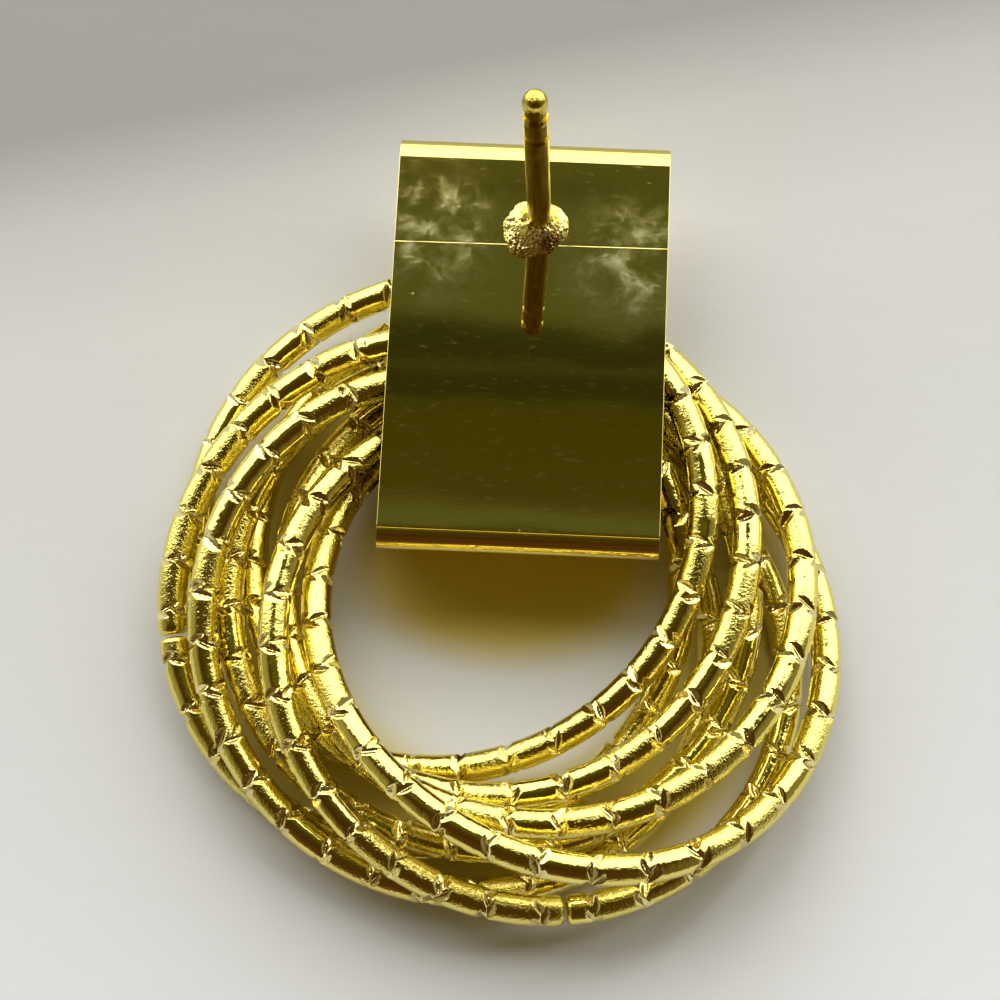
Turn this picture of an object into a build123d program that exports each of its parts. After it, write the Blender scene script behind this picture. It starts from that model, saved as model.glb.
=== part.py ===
from build123d import *
import os
from collections import namedtuple
from math import atan2, cos, pi, radians, sin, sqrt

# A doorknocker earring of gold-toned brass, lying on its face: eight linked wire rings hang in a
# folded strap, and the ear post stands up from the back of the strap.
# Millimetres. X runs across the strap, Y along it towards its folded top, Z up from the surface.
# The origin is below the middle of the whole earring, on the surface that it lies on.

# The foot of the post, measured from that origin.
foot_x = 0.62
foot_y = 10.60

# The strap: one strip bent to a flat loop, its back level, its front resting on the surface.
strap_width = 9.72
strip_thickness = 0.34
back_height = 4.36
top_fold_radius = 1.15
bottom_fold_radius = 0.60
lower_bend_radius = 1.50
front_bow_radius = 8.00
# Corners of the loop's outline before they are rounded, along Y from the foot of the post.
back_bottom_y = -12.57
front_bottom_y = -9.66
front_top_y = -1.00
back_top_y = 6.53

# The butt seam where the strip's two ends meet across the back.
seam_y = -0.70
seam_tilt = 0.6
seam_width = 0.14
seam_depth = 0.07

# The ear post and the solder at its foot.
post_radius = 0.42
post_length = 10.50
tip_round = 0.36
neck_radius = 0.35
neck_length = 1.00
neck_below_tip = 1.20
solder_radius = 1.25
solder_height = 0.90
solder_shift_y = -0.12

# The rings: round wire, nicked all the way round by a cutter.
ring_radius = 9.05
wire_radius = 0.53
wire_sides = 6
nicks = 32
nick_width = 0.46
nick_depth = 0.09
joint_gap = 0.10
joint_end_radius = 0.40
joint_end_length = 0.16

# How each ring lies. x, y, z: its centre, from the foot of the post across and along, and from the
# surface up. rise_x, rise_y: how far its +X and its +Y rim stand above its centre. oval and saddle:
# how far the soft wire is sprung out of round and out of flat, along X and along the diagonal.
# joint: where its open butt joint shows, in degrees from +X, or None where it is closed.
Ring = namedtuple("Ring", "x y z rise_x rise_y oval oval_diagonal saddle saddle_diagonal joint")
rings = [
    Ring(2.04, -14.03, 2.33, -0.93, -1.62, -0.01, -0.26, -0.28, 0.31, None),
    Ring(-2.59, -10.36, 1.94, 1.33, 0.55, 0.10, 0.15, 0.21, -0.01, None),
    Ring(0.66, -15.13, 1.94, -1.51, -0.15, 0.11, -0.16, 0.20, -0.08, 279.5),
    Ring(0.90, -12.50, 2.28, 0.27, -1.23, 0.08, 0.00, 0.02, 0.08, None),
    Ring(-0.77, -11.13, 2.01, 1.08, -0.49, -0.22, -0.01, 0.08, 0.11, None),
    Ring(-1.01, -13.13, 1.91, -0.10, 0.25, 0.14, -0.04, -0.02, -0.03, None),
    Ring(-3.19, -12.95, 1.88, 0.24, 1.33, 0.01, 0.22, -0.02, 0.16, 193.0),
    Ring(-1.95, -14.46, 1.95, -0.95, 0.96, -0.02, -0.21, -0.20, -0.06, None),
]


# The strap is one strip of even thickness. Its outline, seen from the side, is a closed polyline with
# rounded corners, and the inside follows it one thickness further in.
def make_strap():
    corners = [
        (back_bottom_y, back_height),
        (front_bottom_y, 0),
        (front_top_y, 0),
        (back_top_y, back_height),
    ]
    outer_radii = [bottom_fold_radius, lower_bend_radius, front_bow_radius, top_fold_radius]
    outline = FilletPolyline(*corners, radius=outer_radii, close=True)
    outer = make_face(outline)
    inner = offset(outer, -strip_thickness)
    side_view = Plane.YZ * (outer - inner)
    return extrude(side_view, strap_width / 2, both=True)


# The seam is a shallow V groove straight across the back.
def make_seam():
    section = make_face(Polyline(
        (-seam_width / 2, 0),
        (0, -seam_depth),
        (seam_width / 2, 0),
        close=True,
    ))
    groove = extrude(Plane.YZ * section, strap_width, both=True)
    return Pos(0, seam_y, back_height) * Rot(0, 0, seam_tilt) * groove


# The curve of a round cap, seen from the side: from the rim of its base up to the top of its middle.
def cap_arc(base_radius, height, base_z):
    sphere_radius = (base_radius ** 2 + height ** 2) / (2 * height)
    sphere_z = base_z + height - sphere_radius
    rim_angle = atan2(base_z - sphere_z, base_radius)
    middle_angle = (rim_angle + pi / 2) / 2
    middle = (sphere_radius * cos(middle_angle), sphere_z + sphere_radius * sin(middle_angle))
    return ThreePointArc((base_radius, base_z), middle, (0, base_z + height))


# The post is turned round wire: a groove near the tip for a clutch, and a domed end.
def make_post():
    neck_middle = post_length - neck_below_tip
    neck_start = neck_middle - neck_length / 2
    neck_end = neck_middle + neck_length / 2
    dome_start = post_length - tip_round
    root = -strip_thickness / 2
    shaft = Polyline((0, root), (post_radius, root), (post_radius, neck_start))
    neck = ThreePointArc(
        (post_radius, neck_start),
        (neck_radius, neck_middle),
        (post_radius, neck_end),
    )
    shoulder = Line((post_radius, neck_end), (post_radius, dome_start))
    dome = cap_arc(post_radius, tip_round, dome_start)
    axis = Line((0, post_length), (0, root))
    section = make_face(shaft + neck + shoulder + dome + axis)
    return Pos(0, 0, back_height) * revolve(Plane.XZ * section, Axis.Z)


# The solder is a round mound with its skirt sunk half way into the strip.
def make_solder():
    root = -strip_thickness / 2
    mound = cap_arc(solder_radius, solder_height, 0)
    base = Polyline((0, solder_height), (0, root), (solder_radius, root), (solder_radius, 0))
    section = make_face(mound + base)
    return Pos(0, solder_shift_y, back_height) * revolve(Plane.XZ * section, Axis.Z)


# The three directions that a ring is drawn in: across it, along it and square to its plane.
def ring_axes(ring):
    tilt_x = -ring.rise_x / ring_radius
    tilt_y = -ring.rise_y / ring_radius
    normal = Vector(tilt_x, tilt_y, sqrt(1 - tilt_x ** 2 - tilt_y ** 2))
    across = (Vector(1, 0, 0) - normal * tilt_x).normalized()
    along = normal.cross(across)
    return across, along, normal


# Where the wire is cut through for the mesh: both shoulders and the floor of every nick, and the
# rounded ends of an open joint. Each station is an angle round the ring and the wire's radius there.
def ring_stations(ring):
    pitch = 2 * pi / nicks
    half_nick = nick_width / 2 / ring_radius
    start = radians(ring.joint or 0)
    stations = []
    if ring.joint is not None:
        stations.append((start + joint_gap / 2 / ring_radius, joint_end_radius))
        stations.append((start + (joint_gap / 2 + joint_end_length) / ring_radius, wire_radius))
    for nick in range(nicks):
        middle = start + (nick + 0.5) * pitch
        stations.append((middle - half_nick, wire_radius))
        stations.append((middle, wire_radius - nick_depth))
        stations.append((middle + half_nick, wire_radius))
    if ring.joint is not None:
        end = start + 2 * pi
        stations.append((end - (joint_gap / 2 + joint_end_length) / ring_radius, wire_radius))
        stations.append((end - joint_gap / 2 / ring_radius, joint_end_radius))
    return stations


# The corners of the wire's six-sided section at one station.
def wire_section(ring, angle, radius):
    across, along, normal = ring_axes(ring)
    outward = across * cos(angle) + along * sin(angle)
    sprung_out = ring.oval * cos(2 * angle) + ring.oval_diagonal * sin(2 * angle)
    sprung_up = ring.saddle * cos(2 * angle) + ring.saddle_diagonal * sin(2 * angle)
    centre = Vector(ring.x, ring.y, ring.z)
    middle = centre + outward * (ring_radius + sprung_out) + normal * sprung_up
    corners = []
    for side in range(wire_sides):
        turn = 2 * pi * side / wire_sides
        corners.append(middle + outward * (radius * cos(turn)) + normal * (radius * sin(turn)))
    return corners


def flat_face(corners):
    return Face(Wire.make_polygon(corners, close=True))


# One ring: its sections joined by triangles, round to the start or to a flat cap at each end.
def make_ring(ring):
    sections = [wire_section(ring, angle, radius) for angle, radius in ring_stations(ring)]
    faces = []
    if ring.joint is None:
        sections.append(sections[0])
    else:
        faces.append(flat_face(sections[0]))
        faces.append(flat_face(sections[-1]))
    for here, there in zip(sections, sections[1:]):
        for side in range(wire_sides):
            after = (side + 1) % wire_sides
            faces.append(flat_face([here[side], here[after], there[after]]))
            faces.append(flat_face([here[side], there[after], there[side]]))
    return Solid(Shell(faces))


def write_node(name, shape):
    placed = Pos(foot_x, foot_y, 0) * shape
    export_step(placed, "parts/" + name + ".step")
    return placed


os.makedirs("parts", exist_ok=True)
strap_with_post = make_strap() - make_seam() + make_solder() + make_post()
pieces = [write_node("strap_with_post", strap_with_post)]
for number, ring in enumerate(rings, start=1):
    pieces.append(write_node("ring_" + str(number), make_ring(ring)))

box = Compound(children=pieces).bounding_box()
print("from", box.min, "to", box.max)
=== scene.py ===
import math

import bpy
import numpy as np
from mathutils import Matrix, Vector, noise


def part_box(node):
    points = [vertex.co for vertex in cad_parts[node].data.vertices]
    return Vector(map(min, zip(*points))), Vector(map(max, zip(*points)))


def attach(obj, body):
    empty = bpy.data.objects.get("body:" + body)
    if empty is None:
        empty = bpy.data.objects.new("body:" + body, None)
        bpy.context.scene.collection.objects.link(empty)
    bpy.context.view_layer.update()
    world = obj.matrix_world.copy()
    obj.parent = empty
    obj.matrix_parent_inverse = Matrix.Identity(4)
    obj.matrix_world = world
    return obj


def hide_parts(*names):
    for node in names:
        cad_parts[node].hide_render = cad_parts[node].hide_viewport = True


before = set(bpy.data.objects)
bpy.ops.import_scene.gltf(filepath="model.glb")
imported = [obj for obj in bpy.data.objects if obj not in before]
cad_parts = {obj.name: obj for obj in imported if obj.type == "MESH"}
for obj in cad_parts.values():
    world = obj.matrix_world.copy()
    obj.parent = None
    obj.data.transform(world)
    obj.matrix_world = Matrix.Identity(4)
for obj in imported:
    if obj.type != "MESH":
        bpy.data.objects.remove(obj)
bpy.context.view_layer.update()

# The box of the CAD nodes, before any piece here replaces one. Lengths below are in millimetres, and MM
# turns them into Blender's metres.
MM = 0.001


# The view: the earring lies on its face and is seen from above its lower end, through a long lens
# held about nine centimetres away. The camera comes first, so that everything can be judged by it.
camera_place = Vector((1.64, -23.53, 85.10)) * MM
camera_tilt = math.radians(16.49)
camera_heading = math.radians(4.16)
camera_roll = math.radians(-1.57)
camera_data = bpy.data.cameras.new("camera")
camera_data.sensor_width = 36.0
camera_data.lens = 87.26
camera_data.clip_start = 1 * MM
camera_data.clip_end = 10.0
camera = bpy.data.objects.new("camera", camera_data)
camera.matrix_world = (
    Matrix.Translation(camera_place)
    @ Matrix.Rotation(camera_heading, 4, "Z")
    @ Matrix.Rotation(camera_tilt, 4, "X")
    @ Matrix.Rotation(camera_roll, 4, "Z")
)
bpy.context.scene.collection.objects.link(camera)
bpy.context.scene.camera = camera
bpy.context.scene.view_settings.view_transform = "Standard"


# The rings: eight equal rings of round brass wire, plated in bright yellow gold. A spinning diamond
# tool has cut a belt of small V nicks round the wire every 1.8 mm and left smooth lands between.
wire_radius = 0.535
nicks_round_wire = 8
nick_reach = 0.44
# Each nick draws its own value between the two: how far it lies to one side of its belt's middle, how
# deep it is, how fast it grows shallow along the wire, and how much it slants.
nick_aside = (0.08, 0.17)
nick_depth = (0.10, 0.17)
nick_flare = (0.70, 0.95)
nick_slant = (0.10, 0.60)
# In radians round the wire: how far a belt is turned on from the last one, and how far a nick strays.
belt_turn = 0.12
belt_turn_spread = 0.10
nick_turn_spread = 0.08
# Steps of the mesh along the lands and across the nicks, and its columns round the wire.
land_step = 0.20
nick_step = 0.034
wire_columns = 56
# The ends of a ring's open joint: how far back they are rounded, and the share of the radius that the
# rounding takes off.
joint_round_length = 0.22
joint_round_share = 0.42


def linear_colour(hex_code):
    channels = [int(hex_code[i:i + 2], 16) / 255 for i in (1, 3, 5)]
    return [c / 12.92 if c <= 0.04045 else ((c + 0.055) / 1.055) ** 2.4 for c in channels] + [1.0]


def add_node(tree, kind, settings=None, inputs=None):
    node = tree.nodes.new(kind)
    for name, value in (settings or {}).items():
        setattr(node, name, value)
    for name, value in (inputs or {}).items():
        if isinstance(value, bpy.types.NodeSocket):
            tree.links.new(value, node.inputs[name])
        else:
            node.inputs[name].default_value = value
    return node


def mix_colour(tree, share, first, second):
    mix = add_node(tree, "ShaderNodeMix", {"data_type": "RGBA"}, {0: share, 6: first, 7: second})
    return mix.outputs[2]


def new_material(name):
    material = bpy.data.materials.new(name)
    material.use_nodes = True
    material.node_tree.nodes.clear()
    return material, material.node_tree


def add_object(mesh):
    new_object = bpy.data.objects.new(mesh.name, mesh)
    bpy.context.scene.collection.objects.link(new_object)
    return new_object


def mesh_volume_sign(mesh):
    mesh.calc_loop_triangles()
    corners = np.array([v.co for v in mesh.vertices])
    triangles = np.array([t.vertices for t in mesh.loop_triangles])
    a, b, c = corners[triangles[:, 0]], corners[triangles[:, 1]], corners[triangles[:, 2]]
    return np.sign((a * np.cross(b, c)).sum())


# Diamond-cut gold plate on brass: a mirror-bright yellow metal. The lands carry a faint crumple and a
# fine mottle, which blur and break what they mirror, and the keenly cut nicks look paler and sharper.
def make_diamond_cut_gold():
    crumple_width = 0.45
    crumple_depth = 0.024
    mottle_width = 0.09
    mottle_depth = 0.030
    material, tree = new_material("diamond_cut_gold_plate")
    place = add_node(tree, "ShaderNodeTexCoord").outputs["Object"]
    cut = add_node(tree, "ShaderNodeAttribute", {"attribute_name": "cut"}).outputs["Fac"]
    rough_land = add_node(tree, "ShaderNodeAttribute", {"attribute_name": "mottle"}).outputs["Fac"]
    crumple = add_node(tree, "ShaderNodeTexNoise", {}, {
        "Vector": place, "Scale": 1 / (crumple_width * MM), "Detail": 3.0, "Roughness": 0.55,
    })
    mottle = add_node(tree, "ShaderNodeTexNoise", {}, {
        "Vector": place, "Scale": 1 / (mottle_width * MM), "Detail": 2.0, "Roughness": 0.6,
    })
    mottle_height = add_node(tree, "ShaderNodeMath", {"operation": "MULTIPLY"}, {
        0: mottle.outputs["Fac"], 1: rough_land,
    })
    crumple_bump = add_node(tree, "ShaderNodeBump", {}, {
        "Height": crumple.outputs["Fac"], "Distance": crumple_depth * MM, "Strength": 1.0,
    })
    mottle_bump = add_node(tree, "ShaderNodeBump", {}, {
        "Height": mottle_height.outputs[0], "Distance": mottle_depth * MM, "Strength": 1.0,
        "Normal": crumple_bump.outputs["Normal"],
    })
    colour = mix_colour(tree, cut, linear_colour("#f2e27a"), linear_colour("#f6e8a6"))
    roughness = add_node(tree, "ShaderNodeMapRange", {}, {
        "Value": crumple.outputs["Fac"], "From Min": 0.3, "From Max": 0.7, "To Min": 0.06, "To Max": 0.13,
    })
    shader = add_node(tree, "ShaderNodeBsdfPrincipled", {}, {
        "Base Color": colour, "Metallic": 1.0, "Roughness": roughness.outputs["Result"],
        "Normal": mottle_bump.outputs["Normal"],
    })
    add_node(tree, "ShaderNodeOutputMaterial", {}, {"Surface": shader.outputs["BSDF"]})
    return material


diamond_cut_gold = make_diamond_cut_gold()


# The wire's route is read from the ring's own CAD node: its corners fall into stations, one for each
# section of the wire, and a few low waves through the stations' middles give a smooth line. A narrower
# station is the floor of a nick, and a still narrower one is the end of an open joint.
def ring_route(node):
    station_gap = 0.006
    nick_share = 0.90
    joint_share = 0.80
    corners = np.unique(np.round([list(v.co) for v in node.data.vertices], 8), axis=0) / MM
    middle = corners.mean(0)
    normal = np.linalg.svd(corners - middle)[2][2]
    normal = normal * np.sign(normal[2])
    across = np.array([1.0, 0, 0]) - normal * normal[0]
    across = across / np.linalg.norm(across)
    along = np.cross(normal, across)
    angle = np.arctan2((corners - middle) @ along, (corners - middle) @ across)
    order = np.argsort(angle)
    splits = np.where(np.diff(angle[order]) > station_gap)[0] + 1
    centres = []
    radii = []
    for station in np.split(order, splits):
        centre = corners[station].mean(0)
        centres.append(centre)
        radii.append(np.linalg.norm(corners[station] - centre, axis=1).mean())
    centres = np.array(centres) - middle
    radii = np.array(radii)
    angles = np.arctan2(centres @ along, centres @ across)
    reach = np.hypot(centres @ across, centres @ along)
    height = centres @ normal
    waves = route_waves(angles)
    reach_waves = np.linalg.lstsq(waves, reach, rcond=None)[0]
    height_waves = np.linalg.lstsq(waves, height, rcond=None)[0]
    widest = radii.max()
    end_angles = angles[radii < joint_share * widest]
    nick_angles = angles[(radii >= joint_share * widest) & (radii < nick_share * widest)]
    return (middle, across, along, normal, reach_waves, height_waves), nick_angles, end_angles


def route_waves(angles):
    columns = [np.ones_like(angles)]
    for wave in (1, 2, 3):
        columns.append(np.cos(wave * angles))
        columns.append(np.sin(wave * angles))
    return np.stack(columns, 1)


def route_points(route, angles):
    middle, across, along, normal, reach_waves, height_waves = route
    waves = route_waves(angles)
    reach = (waves @ reach_waves)[:, None]
    height = (waves @ height_waves)[:, None]
    outward = np.cos(angles)[:, None] * across + np.sin(angles)[:, None] * along
    return middle + reach * outward + height * normal


# One station every land_step along the lands and every nick_step across a belt of nicks, from an open
# joint right round to it, or from halfway between two belts. A few more lie close to a joint's ends.
def wire_stations(nick_angles, end_angles, ring_radius):
    joint_end_steps = np.array([0.02, 0.05, 0.09, 0.14, 0.20])
    nicks = np.sort(np.mod(nick_angles, 2 * np.pi))
    if len(end_angles):
        ends = np.sort(np.mod(end_angles, 2 * np.pi))
        start = ends.max()
        stop = ends.min() + 2 * np.pi
        nicks = np.sort(np.where(nicks < start, nicks + 2 * np.pi, nicks))
    else:
        start = nicks[-1] - 2 * np.pi + (nicks[0] - nicks[-1] + 2 * np.pi) / 2
        stop = start + 2 * np.pi
    reach = nick_reach / ring_radius
    stations = []
    edge = start
    for nick in nicks:
        count = max(2, round((nick - reach - edge) * ring_radius / land_step))
        stations.extend(np.linspace(edge, nick - reach, count, endpoint=False))
        count = round(2 * nick_reach / nick_step)
        stations.extend(np.linspace(nick - reach, nick + reach, count, endpoint=False))
        edge = nick + reach
    count = max(2, round((stop - edge) * ring_radius / land_step))
    stations.extend(np.linspace(edge, stop, count, endpoint=bool(len(end_angles))))
    stations = np.array(stations)
    if len(end_angles):
        rounding = joint_end_steps / ring_radius
        stations = np.sort(np.concatenate([stations, start + rounding, stop - rounding]))
    return stations, nicks


# The directions that the wire's section is drawn in at each station: away from the ring's middle and up
# from its plane, both square to the wire.
def section_directions(route, stations):
    middle, across, along, normal = route[:4]
    step = 0.001
    tangent = route_points(route, stations + step) - route_points(route, stations - step)
    tangent /= np.linalg.norm(tangent, axis=1)[:, None]
    outward = np.cos(stations)[:, None] * across + np.sin(stations)[:, None] * along
    outward -= (outward * tangent).sum(1)[:, None] * tangent
    outward /= np.linalg.norm(outward, axis=1)[:, None]
    upward = np.cross(tangent, outward)
    upward *= np.sign((upward @ normal))[:, None]
    return outward, upward


# The wire's radius at every station and column. Each nick is two flat faces that meet in a V across the
# wire, and the nicks of a belt lie by turns to one side of its middle and to the other.
def cut_nicks(chance, along_wire, turn, nick_places):
    least_facing = 0.3
    radius = np.full((len(along_wire), wire_columns), wire_radius)
    drift = chance.uniform(0, 2 * np.pi)
    for nick_place in nick_places:
        drift += chance.normal(belt_turn, belt_turn_spread)
        near = np.where(np.abs(along_wire - nick_place) < nick_reach + 0.02)[0]
        side = 1
        for cut in range(nicks_round_wire):
            side = -side
            cut_turn = drift + 2 * np.pi * cut / nicks_round_wire + chance.normal(0, nick_turn_spread)
            cut_place = nick_place + side * chance.uniform(*nick_aside)
            cut_depth = chance.uniform(*nick_depth)
            cut_flare = chance.uniform(*nick_flare)
            cut_slant = side * chance.uniform(*nick_slant)
            lean = turn[None, :] - cut_turn
            aside = wire_radius * np.sin(lean)
            off = np.abs(along_wire[near][:, None] - cut_place - cut_slant * aside)
            floor = wire_radius - cut_depth + off * cut_flare
            facing = np.cos(lean)
            flat = np.where(facing > least_facing, floor / np.maximum(facing, least_facing), wire_radius)
            radius[near] = np.minimum(radius[near], flat)
    return radius


# Faces between the sections, and a flat cap at either end of the wire if the ring has an open joint.
def wire_faces(count, is_open):
    rows = np.arange(count if not is_open else count - 1)
    columns = np.arange(wire_columns)
    row, column = np.meshgrid(rows, columns, indexing="ij")
    next_row = (row + 1) % count
    next_column = (column + 1) % wire_columns
    quads = np.stack([
        row * wire_columns + column,
        next_row * wire_columns + column,
        next_row * wire_columns + next_column,
        row * wire_columns + next_column,
    ], -1).reshape(-1, 4)
    faces = quads.tolist()
    if is_open:
        faces.append(columns.tolist())
        faces.append(((count - 1) * wire_columns + columns)[::-1].tolist())
    return faces


def make_ring(name, seed):
    full_cut_depth = 0.015
    sharp_angle = math.radians(28)
    chance = np.random.RandomState(seed)
    route, nick_angles, end_angles = ring_route(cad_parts[name])
    ring_radius = route[4][0]
    is_open = len(end_angles) > 0
    stations, nicks = wire_stations(nick_angles, end_angles, ring_radius)
    along_wire = stations * ring_radius
    turn = np.linspace(0, 2 * np.pi, wire_columns, endpoint=False)
    radius = cut_nicks(chance, along_wire, turn, nicks * ring_radius)
    cut = np.clip((wire_radius - radius) / full_cut_depth, 0, 1)
    if is_open:
        for edge in (along_wire[0], along_wire[-1]):
            to_edge = np.abs(along_wire - edge)
            inset = np.clip(joint_round_length - to_edge, 0, joint_round_length) / joint_round_length
            radius *= (1 - joint_round_share * (1 - np.sqrt(1 - inset ** 2)))[:, None]

    outward, upward = section_directions(route, stations)
    points = (
        route_points(route, stations)[:, None, :]
        + outward[:, None, :] * (radius * np.cos(turn))[:, :, None]
        + upward[:, None, :] * (radius * np.sin(turn))[:, :, None]
    )
    mesh = bpy.data.meshes.new(name + "_wire")
    mesh.from_pydata((points.reshape(-1, 3) * MM).tolist(), [], wire_faces(len(stations), is_open))
    # The material reads how deep each point is cut, and how mottled its land is.
    land = np.searchsorted(nicks, stations)
    land_mottle = np.clip(chance.normal(0.50, 0.45, len(nicks) + 1), 0, 1)[land]
    cut_layer = mesh.attributes.new("cut", "FLOAT", "POINT")
    cut_layer.data.foreach_set("value", cut.reshape(-1))
    mottle_layer = mesh.attributes.new("mottle", "FLOAT", "POINT")
    mottle_layer.data.foreach_set("value", np.repeat(land_mottle, wire_columns) * (1 - cut.reshape(-1)))
    mesh.update()
    mesh.validate()
    if mesh_volume_sign(mesh) < 0:
        mesh.flip_normals()
    mesh.shade_smooth()
    mesh.set_sharp_from_angle(angle=sharp_angle)
    mesh.materials.append(diamond_cut_gold)
    ring = add_object(mesh)
    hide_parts(name)
    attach(ring, "root")


for number in range(1, 9):
    make_ring("ring_" + str(number), seed=40 + number)


# The strap: one strip of brass, 9.8 mm wide and a third of a millimetre thick, bent round to a flat
# loop that holds the rings. Its ends meet in a thin seam across the back, the press has left creases
# at the bottom fold, and it is plated like the rings and polished to a mirror.
strap_low, strap_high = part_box("strap_with_post")
post_x = (strap_low[0] + strap_high[0]) / 2 / MM
foot_to_top_edge = 3.40
foot_y = strap_high[1] / MM - foot_to_top_edge
strap_middle_x = post_x - 0.04
strap_width = (strap_high[0] - strap_low[0]) / MM + 0.10
strip_thickness = 0.34
back_height = 4.36
back_slack = 0.01
edge_round = 0.012
# Columns of the mesh across the strip, and the outermost ones' distance from its edges.
strap_columns = 41
border_column = 0.01
# Corners of the loop's outline before they are rounded: along Y from the post's foot, up, and radius.
outline_corners = [
    (-12.57, 4.36, 0.60),
    (-9.66, 0.00, 1.50),
    (-1.00, 0.00, 8.00),
    (5.94, 4.36, 0.97),
]
seam_y = -0.70
seam_slant = 0.0105
seam_half_width = 0.018
seam_depth = 0.0065
seam_waves_per_mm = 1.1
# The back isn't quite flat: its slow waves to a millimetre, and how deep they are.
waves_per_mm = 0.35
wave_depth = 0.003
# Creases of the bottom fold: place along the strip from where the back ends, depth, reach.
bottom_fold_y = -11.44
fold_creases = [
    (0.00, 0.014, 0.035),
    (0.19, 0.028, 0.035),
    (0.33, 0.014, 0.030),
    (0.44, 0.012, 0.030),
]


# The outline as a dense run of points with arcs at its corners.
def dense_outline(corners):
    spacing = 0.005
    points = []
    count = len(corners)
    for i in range(count):
        before = np.array(corners[i - 1][:2])
        here = np.array(corners[i][:2])
        after = np.array(corners[(i + 1) % count][:2])
        radius = corners[i][2]
        towards = (before - here) / np.linalg.norm(before - here)
        away = (after - here) / np.linalg.norm(after - here)
        half = math.acos(np.clip(towards @ away, -1, 1)) / 2
        start = here + towards * radius / math.tan(half)
        middle = here + (towards + away) / np.linalg.norm(towards + away) * radius / math.sin(half)
        first = math.atan2(start[1] - middle[1], start[0] - middle[0])
        sweep = math.pi - 2 * half
        if towards[0] * away[1] - towards[1] * away[0] > 0:
            sweep = -sweep
        if points:
            run = np.linalg.norm(start - points[-1])
            for share in np.arange(spacing, run, spacing) / run:
                points.append(straight_from * (1 - share) + start * share)
        steps = int(abs(sweep) * radius / spacing)
        for k in range(steps + 1):
            turn = first + sweep * k / steps
            points.append(middle + radius * np.array([math.cos(turn), math.sin(turn)]))
        straight_from = points[-1]
    run = np.linalg.norm(points[0] - straight_from)
    for share in np.arange(spacing, run, spacing) / run:
        points.append(straight_from * (1 - share) + points[0] * share)
    return np.array(points)


# Every so many of those points: close together at the seam and the bottom fold, wider at the other
# bends and widest along the flats.
def walk_outline(points):
    seam_step = 0.005
    fold_step = 0.012
    bend_step = 0.030
    flat_step = 0.150
    seam_reach = 0.10
    fold_end_y = -11.3
    fold_end_depth = 0.45
    lower_bend_y = -11.2
    upper_bend_y = 2.2
    picked = [0]
    travelled = 0.0
    for i in range(1, len(points)):
        travelled += np.linalg.norm(points[i] - points[i - 1])
        y, z = points[i]
        if z > back_height - back_slack and abs(y - seam_y) < seam_reach:
            step = seam_step
        elif y < fold_end_y and z > back_height - fold_end_depth:
            step = fold_step
        elif y < lower_bend_y or y > upper_bend_y:
            step = bend_step
        else:
            step = flat_step
        if travelled >= step:
            picked.append(i)
            travelled = 0.0
    return points[picked]


# The strip's cross-section, right round: each corner's place across and its depth below the outer side.
def strip_section():
    half = strap_width / 2
    flat = half - edge_round
    inner_columns = np.linspace(-flat + border_column, flat - border_column, strap_columns)
    across_positions = np.concatenate([[-flat], inner_columns, [flat]])
    edge_turns = [math.pi / 2 * k / 4 for k in range(1, 4)]
    section = [(x, 0.0) for x in across_positions]
    for a in edge_turns:
        section.append((flat + edge_round * math.sin(a), edge_round * (1 - math.cos(a))))
    section.append((half, edge_round))
    section.append((half, strip_thickness - edge_round))
    section.append((flat, strip_thickness))
    section.extend((x, strip_thickness) for x in across_positions[::-1][1:])
    section.append((-half, strip_thickness - edge_round))
    section.append((-half, edge_round))
    for a in edge_turns[::-1]:
        section.append((-flat - edge_round * math.sin(a), edge_round * (1 - math.cos(a))))
    return section


# How deep the creases of the bottom fold are, at a distance along the strip from where the back ends.
def crease_depth(from_fold):
    crease = 0.0
    if abs(from_fold) < 1.0:
        for place, depth, reach in fold_creases:
            crease += depth * math.exp(-((from_fold - place) / reach) ** 2)
    return crease


# How far the outer side lies below its plain shape at one point: by slow waves, by the creases and by
# the seam, which is opener in some places than in others.
def dent_depth(x, y, z, crease):
    wave = noise.noise(Vector((x * waves_per_mm, y * waves_per_mm, z * waves_per_mm)))
    dent = wave * wave_depth + crease
    if z > back_height - back_slack:
        aside = abs(y - seam_y - seam_slant * x)
        opened = max(0.10, 0.45 + 1.6 * noise.noise(Vector((x * seam_waves_per_mm, 3.1, 0.0))))
        dent += seam_depth * min(1.0, opened) * max(0.0, 1 - aside / seam_half_width)
    return dent


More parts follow.
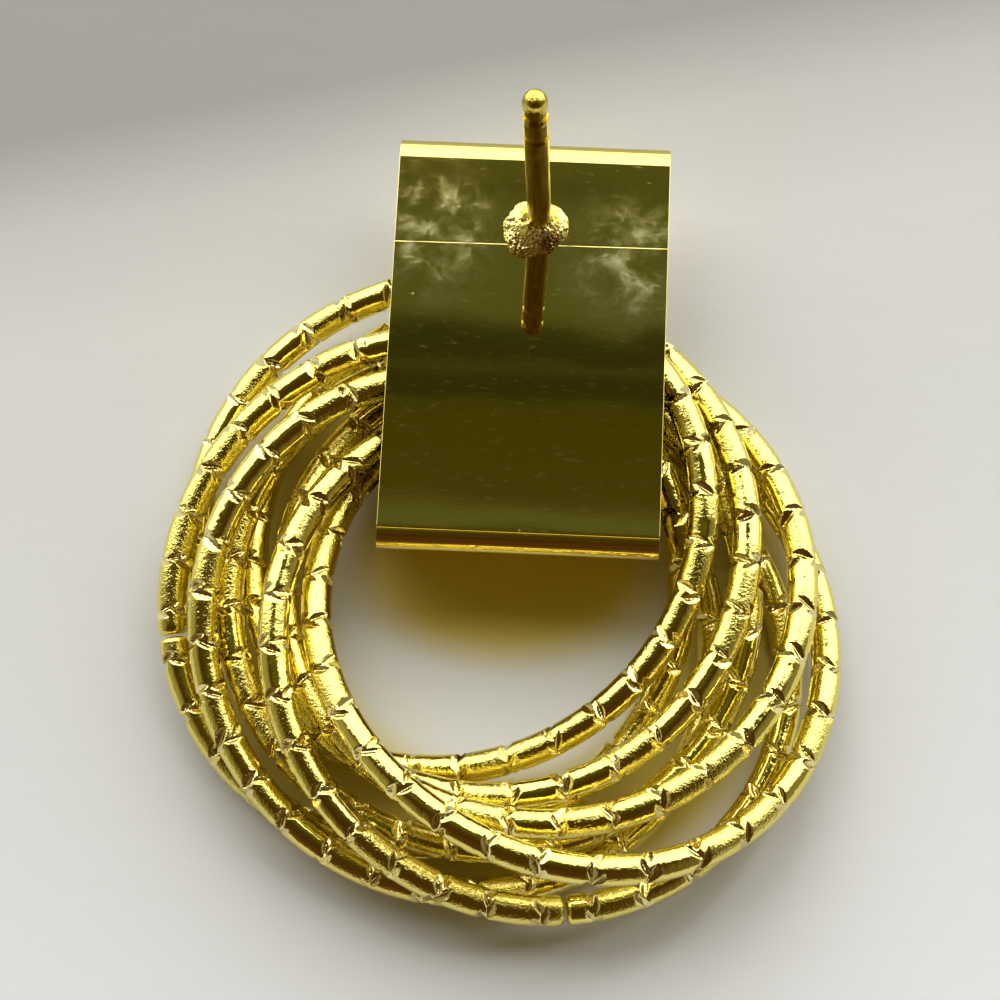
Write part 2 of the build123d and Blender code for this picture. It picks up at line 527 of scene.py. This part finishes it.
def make_strap():
    sharp_angle = math.radians(40)
    outline = walk_outline(dense_outline(outline_corners))
    count = len(outline)
    tangent = np.roll(outline, -1, 0) - np.roll(outline, 1, 0)
    tangent /= np.linalg.norm(tangent, axis=1)[:, None]
    inward = np.stack([tangent[:, 1], -tangent[:, 0]], 1)
    centre = outline.mean(0)
    if ((centre - outline) * inward).sum() < 0:
        inward = -inward
    steps = np.linalg.norm(np.roll(outline, -1, 0) - outline, axis=1)
    travelled = np.concatenate([[0], np.cumsum(steps)[:-1]])
    fold_start = travelled[np.argmin(np.hypot(outline[:, 0] - bottom_fold_y, outline[:, 1] - back_height))]
    section = strip_section()
    width = len(section)
    points = np.zeros((count, width, 3))
    for i in range(count):
        crease = crease_depth(travelled[i] - fold_start)
        for j in range(width):
            x, depth = section[j]
            y, z = outline[i] + inward[i] * depth
            if depth < edge_round * 0.5:
                dent = dent_depth(x, y, z, crease)
                y += inward[i][0] * dent
                z += inward[i][1] * dent
            points[i, j] = (strap_middle_x + x, foot_y + y, z)
    row, column = np.meshgrid(np.arange(count), np.arange(width), indexing="ij")
    next_row = (row + 1) % count
    next_column = (column + 1) % width
    quads = np.stack([
        row * width + column,
        row * width + next_column,
        next_row * width + next_column,
        next_row * width + column,
    ], -1).reshape(-1, 4)
    mesh = bpy.data.meshes.new("strap_strip")
    mesh.from_pydata((points.reshape(-1, 3) * MM).tolist(), [], quads.tolist())
    mesh.update()
    if mesh_volume_sign(mesh) < 0:
        mesh.flip_normals()
    mesh.shade_smooth()
    mesh.set_sharp_from_angle(angle=sharp_angle)
    return add_object(mesh)


def smooth_step(tree, value, start, end):
    step = add_node(tree, "ShaderNodeMapRange", {"interpolation_type": "SMOOTHSTEP"}, {
        "Value": value, "From Min": start, "From Max": end, "To Min": 0.0, "To Max": 1.0,
    })
    return step.outputs["Result"]


# Mirror-polished gold plate: nearly as smooth as glass, with a dull film of finger grease in two
# patches beside the post, fine flecks of the same film in streaks, and a few specks in the plating.
# The film is paler and duller than the metal, so it shows as a haze over what the strap mirrors.
def make_polished_gold():
    haze_patches = [(-2.9, 10.1), (4.3, 9.3)]
    haze_reach = 3.6
    haze_core = 0.8
    cloud_width = 1.2
    streak_width = 0.26
    speck_spacing = 1.9
    crepe_width = 0.40
    crepe_depth = 0.0002
    material, tree = new_material("mirror_polished_gold_plate")
    place = add_node(tree, "ShaderNodeTexCoord").outputs["Object"]
    cloud = add_node(tree, "ShaderNodeTexNoise", {}, {
        "Vector": place, "Scale": 1 / (cloud_width * MM), "Detail": 8.0, "Roughness": 0.70, "Distortion": 0.3,
    })
    smeared = smooth_step(tree, cloud.outputs["Fac"], 0.34, 0.74)
    nearness = []
    for x, y in haze_patches:
        distance = add_node(tree, "ShaderNodeVectorMath", {"operation": "DISTANCE"}, {
            0: place, 1: (x * MM, y * MM, back_height * MM),
        })
        nearness.append(smooth_step(tree, distance.outputs["Value"], haze_reach * MM, haze_core * MM))
    near_patch = add_node(tree, "ShaderNodeMath", {"operation": "MAXIMUM"}, {0: nearness[0], 1: nearness[1]})
    patch_haze = add_node(tree, "ShaderNodeMath", {"operation": "MULTIPLY"}, {
        0: near_patch.outputs[0], 1: smeared,
    })
    wiped = add_node(tree, "ShaderNodeMapping", {}, {"Vector": place, "Scale": (0.45, 1.5, 1.0)})
    wiped.inputs["Rotation"].default_value = (0, 0, math.radians(20))
    streaks = add_node(tree, "ShaderNodeTexNoise", {}, {
        "Vector": wiped.outputs["Vector"], "Scale": 1 / (streak_width * MM), "Detail": 5.0, "Roughness": 0.7,
    })
    flecks = smooth_step(tree, streaks.outputs["Fac"], 0.56, 0.78)
    specks = add_node(tree, "ShaderNodeTexVoronoi", {}, {
        "Vector": place, "Scale": 1 / (speck_spacing * MM),
    })
    speck_spots = smooth_step(tree, specks.outputs["Distance"], 0.035, 0.020)
    fleck_haze = add_node(tree, "ShaderNodeMath", {"operation": "MULTIPLY_ADD"}, {
        0: flecks, 1: 0.45, 2: patch_haze.outputs[0],
    })
    haze = add_node(tree, "ShaderNodeMath", {"operation": "ADD", "use_clamp": True}, {
        0: fleck_haze.outputs[0], 1: speck_spots,
    })
    colour = mix_colour(tree, haze.outputs[0], linear_colour("#f3dd76"), linear_colour("#dcdaa4"))
    metal = add_node(tree, "ShaderNodeMapRange", {}, {
        "Value": haze.outputs[0], "From Min": 0.0, "From Max": 1.0, "To Min": 1.0, "To Max": 0.86,
    })
    roughness = add_node(tree, "ShaderNodeMapRange", {}, {
        "Value": haze.outputs[0], "From Min": 0.0, "From Max": 1.0, "To Min": 0.02, "To Max": 0.18,
    })
    crepe = add_node(tree, "ShaderNodeTexNoise", {}, {
        "Vector": wiped.outputs["Vector"], "Scale": 1 / (crepe_width * MM), "Detail": 4.0, "Roughness": 0.6,
    })
    bump = add_node(tree, "ShaderNodeBump", {}, {
        "Height": crepe.outputs["Fac"], "Distance": crepe_depth * MM, "Strength": 1.0,
    })
    shader = add_node(tree, "ShaderNodeBsdfPrincipled", {}, {
        "Base Color": colour, "Metallic": metal.outputs["Result"], "Roughness": roughness.outputs["Result"],
        "Normal": bump.outputs["Normal"],
    })
    add_node(tree, "ShaderNodeOutputMaterial", {}, {"Surface": shader.outputs["BSDF"]})
    return material


polished_gold = make_polished_gold()
strap = make_strap()
strap.data.materials.append(polished_gold)
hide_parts("strap_with_post")
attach(strap, "root")


# The post: round brass wire that goes through the ear, with a groove turned near its domed tip for a
# clutch to catch in and a narrower one below it. It is soldered to the strap's back, and leans a little.
post_length = strap_high[2] / MM - back_height
post_lean = 0.24
post_sides = 48
# The tip's dome: its rows of points, how square-shouldered it is, and the least radius at its middle.
dome_rows = 13
dome_shoulder = 0.55
dome_least_radius = 0.004
# Heights above the strap's back and radii, from the foot to the edge of the domed tip.
post_profile = [
    (-0.10, 0.420),
    (2.50, 0.424),
    (5.00, 0.418),
    (7.45, 0.426),
    (7.58, 0.422),
    (7.55, 0.350),
    (7.80, 0.362),
    (8.05, 0.418),
    (8.60, 0.424),
    (9.02, 0.430),
    (9.13, 0.426),
    (9.10, 0.335),
    (9.32, 0.340),
    (9.52, 0.372),
    (9.66, 0.420),
    (10.06, 0.428),
]


# Faces of a tube whose points lie in level rows, with a flat cap at either end.
def tube_faces(row_count, sides):
    faces = []
    for row in range(row_count - 1):
        low = row * sides
        high = low + sides
        for side in range(sides):
            after = (side + 1) % sides
            faces.append((low + side, low + after, high + after, high + side))
    faces.append(list(range(sides))[::-1])
    faces.append(list(range(high, high + sides)))
    return faces


def make_post():
    sharp_angle = math.radians(50)
    heights = []
    radii = []
    for (low, low_radius), (high, high_radius) in zip(post_profile, post_profile[1:]):
        for share in np.linspace(0, 1, 5)[:-1]:
            eased = share * share * (3 - 2 * share)
            heights.append(low + (high - low) * share)
            radii.append(low_radius + (high_radius - low_radius) * eased)
    dome_start, dome_radius = post_profile[-1]
    dome_height = post_length - dome_start
    for k in range(dome_rows):
        a = math.pi / 2 * k / (dome_rows - 1)
        heights.append(dome_start + dome_height * math.sin(a))
        radii.append(max(dome_radius * math.cos(a) ** dome_shoulder, dome_least_radius))
    points = []
    for z, r in zip(heights, radii):
        for s in range(post_sides):
            a = 2 * math.pi * s / post_sides
            points.append((
                (post_x + post_lean * (1 - z / post_length) + r * math.cos(a)) * MM,
                (foot_y + r * math.sin(a)) * MM,
                (back_height + z) * MM,
            ))
    mesh = bpy.data.meshes.new("ear_post")
    mesh.from_pydata(points, [], tube_faces(len(heights), post_sides))
    mesh.update()
    mesh.shade_smooth()
    mesh.set_sharp_from_angle(angle=sharp_angle)
    return add_object(mesh)


# Satin gold plate over drawn wire: not polished like the strap, so its reflections are soft, and
# drawn out into fine streaks along the wire.
def make_satin_gold():
    streak_width = 0.09
    streak_depth = 0.016
    wear_width = 0.6
    material, tree = new_material("satin_gold_plate_on_drawn_wire")
    place = add_node(tree, "ShaderNodeTexCoord").outputs["Object"]
    drawn = add_node(tree, "ShaderNodeMapping", {}, {"Vector": place, "Scale": (1.0, 1.0, 0.05)})
    streaks = add_node(tree, "ShaderNodeTexNoise", {}, {
        "Vector": drawn.outputs["Vector"], "Scale": 1 / (streak_width * MM), "Detail": 3.0, "Roughness": 0.6,
    })
    bump = add_node(tree, "ShaderNodeBump", {}, {
        "Height": streaks.outputs["Fac"], "Distance": streak_depth * MM, "Strength": 1.0,
    })
    wear = add_node(tree, "ShaderNodeTexNoise", {}, {
        "Vector": place, "Scale": 1 / (wear_width * MM), "Detail": 4.0, "Roughness": 0.6,
    })
    roughness = add_node(tree, "ShaderNodeMapRange", {}, {
        "Value": wear.outputs["Fac"], "From Min": 0.3, "From Max": 0.7, "To Min": 0.14, "To Max": 0.24,
    })
    colour = mix_colour(
        tree, smooth_step(tree, streaks.outputs["Fac"], 0.40, 0.62),
        linear_colour("#c8ac44"), linear_colour("#e6d568"),
    )
    shader = add_node(tree, "ShaderNodeBsdfPrincipled", {}, {
        "Base Color": colour, "Metallic": 1.0, "Roughness": roughness.outputs["Result"],
        "Normal": bump.outputs["Normal"],
    })
    add_node(tree, "ShaderNodeOutputMaterial", {}, {"Surface": shader.outputs["BSDF"]})
    return material


post = make_post()
post.data.materials.append(make_satin_gold())
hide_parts("strap_with_post")
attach(post, "root")


# The solder: a mound that has run round the post's foot and drawn up against it, which holds it to the
# strap. It was plated over with the rest, but stayed grainy like wet sand. It has a dark pit beside the
# post. Its colour is browner in the pit, as painted shade, and in a reddish brown patch on its lower right.
solder_x = post_x + 0.05
solder_y = foot_y - 0.08
solder_radius = 1.10
solder_height = 0.62
solder_sunk = 0.03
# The collar drawn up against the post: its height, its distance from the post's middle and its spread.
collar_height = 0.38
collar_radius = 0.42
collar_spread = 0.30
collar_x = 0.12
# The pit and the reddish brown patch, from the mound's middle.
pit_place = (-0.36, 0.02)
pit_depth = 0.35
pit_radius = 0.13
brown_patch_place = (0.62, -0.62)
# The grain: height in millimetres and waves to a radius, for lumps, grains and fine grains.
lump_height, lump_waves = 0.13, 2.3
grain_height, grain_waves = 0.10, 8.5
fine_grain_height, fine_grain_waves = 0.05, 15


def make_solder():
    rows = 80
    sides = 170
    fine_grain_shift = Vector((7, 0, 0))
    points = []
    for i in range(rows):
        a = math.pi / 2 * (i / (rows - 1))
        for s in range(sides):
            turn = 2 * math.pi * s / sides
            direction = Vector((math.cos(turn) * math.cos(a), math.sin(turn) * math.cos(a), math.sin(a)))
            wobble = 1 + 0.05 * math.sin(2 * turn + 0.7) + 0.04 * math.sin(3 * turn + 2.1)
            lumps = noise.noise(direction * lump_waves)
            grains = 0.5 - noise.voronoi(direction * grain_waves)[0][0]
            fine_grains = 0.5 - noise.voronoi(direction * fine_grain_waves + fine_grain_shift)[0][0]
            lift = lump_height * lumps + grain_height * grains + fine_grain_height * fine_grains
            radius = solder_radius * wobble + lift
            x = direction.x * radius
            y = direction.y * radius
            from_collar = math.hypot(x - collar_x, y) - collar_radius
            collar = collar_height * math.exp(-(from_collar / collar_spread) ** 2)
            from_pit = math.hypot(x - pit_place[0], y - pit_place[1])
            z = direction.z * (solder_height + lift) + collar * direction.z
            z -= pit_depth * math.exp(-(from_pit / pit_radius) ** 2)
            points.append((
                (solder_x + x) * MM,
                (solder_y + y) * MM,
                (back_height - solder_sunk + z) * MM,
            ))
    mesh = bpy.data.meshes.new("solder_mound")
    mesh.from_pydata(points, [], tube_faces(rows, sides))
    mesh.update()
    mesh.shade_smooth()
    return add_object(mesh)


# Plated solder: a bright, pale gold skin over grain too fine to model, which scatters its shine, and
# two brown places: painted shade in the pit beside the post, and a reddish brown patch on its lower right.
def make_solder_metal():
    grain_width = 0.07
    grain_depth = 0.014
    brown_mark_height = 0.35
    material, tree = new_material("plated_grainy_solder")
    place = add_node(tree, "ShaderNodeTexCoord").outputs["Object"]
    grain = add_node(tree, "ShaderNodeTexNoise", {}, {
        "Vector": place, "Scale": 1 / (grain_width * MM), "Detail": 3.0, "Roughness": 0.6,
    })
    bump = add_node(tree, "ShaderNodeBump", {}, {
        "Height": grain.outputs["Fac"], "Distance": grain_depth * MM, "Strength": 1.0,
    })
    pit_shade_and_brown_patch = []
    # Brown marks in the solder's colour: painted shade in the pit, and a reddish brown patch on the lower
    # right.
    for spot, reach in ((pit_place, 0.34), (brown_patch_place, 0.62)):
        distance = add_node(tree, "ShaderNodeVectorMath", {"operation": "DISTANCE"}, {
            0: place,
            1: ((solder_x + spot[0]) * MM, (solder_y + spot[1]) * MM, (back_height + brown_mark_height) * MM),
        })
        pit_shade_and_brown_patch.append(smooth_step(tree, distance.outputs["Value"], reach * MM, reach * 0.45 * MM))
    pit_shade_and_brown = add_node(tree, "ShaderNodeMath", {"operation": "MAXIMUM"}, {0: pit_shade_and_brown_patch[0], 1: pit_shade_and_brown_patch[1]})
    patchy = add_node(tree, "ShaderNodeMath", {"operation": "MULTIPLY"}, {
        0: pit_shade_and_brown.outputs[0], 1: smooth_step(tree, grain.outputs["Fac"], 0.34, 0.56),
    })
    colour = mix_colour(tree, patchy.outputs[0], linear_colour("#ecdc8e"), linear_colour("#6a2c16"))
    roughness = add_node(tree, "ShaderNodeMapRange", {}, {
        "Value": patchy.outputs[0], "From Min": 0.0, "From Max": 1.0, "To Min": 0.20, "To Max": 0.42,
    })
    shader = add_node(tree, "ShaderNodeBsdfPrincipled", {}, {
        "Base Color": colour, "Metallic": 1.0, "Roughness": roughness.outputs["Result"],
        "Normal": bump.outputs["Normal"],
    })
    add_node(tree, "ShaderNodeOutputMaterial", {}, {"Surface": shader.outputs["BSDF"]})
    return material


solder = make_solder()
solder.data.materials.append(make_solder_metal())
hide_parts("strap_with_post")
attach(solder, "root")


# The surface: a smooth board, painted pale and plain with a broad brush, which runs on past the picture
# on all sides. Its colour greys towards its far left corner as painted shade.
floor_half = 0.45
brush_width = 0.9
brush_depth = 0.012


def colour_ramp(tree, value, stops):
    ramp = add_node(tree, "ShaderNodeValToRGB", {}, {"Fac": value})
    elements = ramp.color_ramp.elements
    elements[0].position, elements[0].color = stops[0]
    elements[-1].position, elements[-1].color = stops[-1]
    for position, colour in stops[1:-1]:
        elements.new(position).color = colour
    return ramp.outputs["Color"]


floor_mesh = bpy.data.meshes.new("floor")
floor_mesh.from_pydata(
    [(-floor_half, -floor_half, 0), (floor_half, -floor_half, 0),
     (floor_half, floor_half, 0), (-floor_half, floor_half, 0)],
    [], [(0, 1, 2, 3)],
)
floor = add_object(floor_mesh)
# Matt paint: it takes soft shadows, and the brush's faint furrows show only where light grazes them.
floor_material, floor_tree = new_material("pale_painted_board")
floor_place = add_node(floor_tree, "ShaderNodeTexCoord").outputs["Object"]
# The board's pale colour, with painted shade that turns it greyer towards the far left corner.
floor_slant = add_node(floor_tree, "ShaderNodeVectorMath", {"operation": "DOT_PRODUCT"}, {
    0: floor_place, 1: (-0.25, 1.0, 0.0),
})
floor_share = add_node(floor_tree, "ShaderNodeMapRange", {}, {
    "Value": floor_slant.outputs["Value"], "From Min": -20 * MM, "From Max": 20 * MM,
})
board_colour_and_painted_shade = colour_ramp(floor_tree, floor_share.outputs["Result"], [
    (0.0, linear_colour("#eff0f1")),
    (0.575, linear_colour("#dcdddc")),
    (0.775, linear_colour("#d9d8d4")),
    (0.90, linear_colour("#c9c8c3")),
    (1.0, linear_colour("#a2a19d")),
])
# Painted gold bounce light and shade: a darker gold tint mixed into the board's colour in a broad band
# under the rings' wire and an oval patch under the strap, where they would throw gold light down on it.
under_rings = add_node(floor_tree, "ShaderNodeVectorMath", {"operation": "DISTANCE"}, {
    0: floor_place, 1: (-0.12 * MM, -2.4 * MM, 0),
})
painted_ring_bounce = add_node(floor_tree, "ShaderNodeMath", {"operation": "MULTIPLY"}, {
    0: smooth_step(floor_tree, under_rings.outputs["Value"], 5.4 * MM, 7.3 * MM),
    1: smooth_step(floor_tree, under_rings.outputs["Value"], 11.6 * MM, 9.8 * MM),
})
squeezed = add_node(floor_tree, "ShaderNodeMapping", {}, {"Vector": floor_place, "Scale": (1.0, 1.5, 1.0)})
under_strap = add_node(floor_tree, "ShaderNodeVectorMath", {"operation": "DISTANCE"}, {
    0: squeezed.outputs["Vector"], 1: (0.1 * MM, -1.0 * MM, 0),
})
painted_gold_bounce = add_node(floor_tree, "ShaderNodeMath", {"operation": "MAXIMUM"}, {
    0: painted_ring_bounce.outputs[0],
    1: smooth_step(floor_tree, under_strap.outputs["Value"], 7.0 * MM, 4.0 * MM),
})
painted_bounce_share = add_node(floor_tree, "ShaderNodeMath", {"operation": "MULTIPLY"}, {
    0: painted_gold_bounce.outputs[0], 1: 0.92,
})
floor_colour = mix_colour(floor_tree, painted_bounce_share.outputs[0], board_colour_and_painted_shade, linear_colour("#dcc746"))
brush = add_node(floor_tree, "ShaderNodeMapping", {}, {"Vector": floor_place, "Scale": (0.25, 1.0, 1.0)})
brush.inputs["Rotation"].default_value = (0, 0, math.radians(-32))
brush_marks = add_node(floor_tree, "ShaderNodeTexNoise", {}, {
    "Vector": brush.outputs["Vector"], "Scale": 1 / (brush_width * MM), "Detail": 4.0, "Roughness": 0.6,
})
brush_bump = add_node(floor_tree, "ShaderNodeBump", {}, {
    "Height": brush_marks.outputs["Fac"], "Distance": brush_depth * MM, "Strength": 1.0,
})
floor_shader = add_node(floor_tree, "ShaderNodeBsdfPrincipled", {}, {
    "Base Color": floor_colour, "Roughness": 0.55, "Normal": brush_bump.outputs["Normal"],
})
add_node(floor_tree, "ShaderNodeOutputMaterial", {}, {"Surface": floor_shader.outputs["BSDF"]})
floor_mesh.materials.append(floor_material)


# The room: a wide, even bank of soft light beyond the far edge, a dark brown room behind the camera,
# darker yellowish walls to either side, and overhead a dim ceiling with faint bands, which the level
# back of the strap mirrors. A colour here is the strength of the light from that direction.
world = bpy.data.worlds.new("soft_room")
bpy.context.scene.world = world
world.use_nodes = True
room = world.node_tree
room.nodes.clear()
sky = add_node(room, "ShaderNodeTexCoord")
toward = add_node(room, "ShaderNodeSeparateXYZ", {}, {"Vector": sky.outputs["Generated"]})
window_light = colour_ramp(room, toward.outputs["Z"], [
    (0.00, (2.1, 2.1, 2.05, 1)),
    (0.44, (2.5, 2.5, 2.45, 1)),
    (0.58, (2.85, 2.85, 2.80, 1)),
])
camera_side_light = colour_ramp(room, toward.outputs["Z"], [
    (0.00, (0.20, 0.14, 0.06, 1)),
    (0.20, (0.11, 0.060, 0.028, 1)),
    (0.44, (0.072, 0.030, 0.012, 1)),
    (0.64, (0.078, 0.040, 0.014, 1)),
    (0.83, (0.056, 0.024, 0.002, 1)),
    (0.95, (0.060, 0.040, 0.008, 1)),
])
side_spread = add_node(room, "ShaderNodeMath", {"operation": "ABSOLUTE"}, {0: toward.outputs["X"]})
side_share = smooth_step(room, side_spread.outputs[0], 0.50, 0.95)
walls = mix_colour(
    room, smooth_step(room, toward.outputs["X"], -0.5, 0.5),
    (0.34, 0.32, 0.18, 1), (0.24, 0.22, 0.12, 1),
)
side_light = mix_colour(room, side_share, camera_side_light, walls)
ceiling = colour_ramp(room, toward.outputs["Y"], [
    (0.00, (0.063, 0.047, 0.010, 1)),
    (0.10, (0.110, 0.095, 0.018, 1)),
    (0.20, (0.110, 0.100, 0.018, 1)),
    (0.268, (0.048, 0.046, 0.007, 1)),
    (0.272, (0.105, 0.113, 0.060, 1)),
    (0.279, (0.095, 0.100, 0.050, 1)),
    (0.283, (0.060, 0.058, 0.012, 1)),
    (0.320, (0.054, 0.053, 0.007, 1)),
    (0.3235, (0.032, 0.033, 0.009, 1)),
    (0.3345, (0.034, 0.035, 0.010, 1)),
    (0.3365, (0.055, 0.058, 0.025, 1)),
    (0.3385, (0.032, 0.033, 0.009, 1)),
    (0.350, (0.036, 0.038, 0.012, 1)),
    (0.3535, (0.090, 0.100, 0.045, 1)),
    (0.396, (0.090, 0.100, 0.050, 1)),
    (0.401, (0.066, 0.070, 0.025, 1)),
    (0.408, (0.085, 0.090, 0.040, 1)),
])
around = mix_colour(room, smooth_step(room, toward.outputs["Y"], 0.18, 0.30), side_light, window_light)
overhead = mix_colour(room, smooth_step(room, toward.outputs["Y"], -0.10, 0.05), camera_side_light, ceiling)
whole_room = mix_colour(room, smooth_step(room, toward.outputs["Z"], 0.897, 0.909), around, overhead)
background = add_node(room, "ShaderNodeBackground", {}, {"Color": whole_room, "Strength": 1.0})
add_node(room, "ShaderNodeOutputWorld", {}, {"Surface": background.outputs["Background"]})
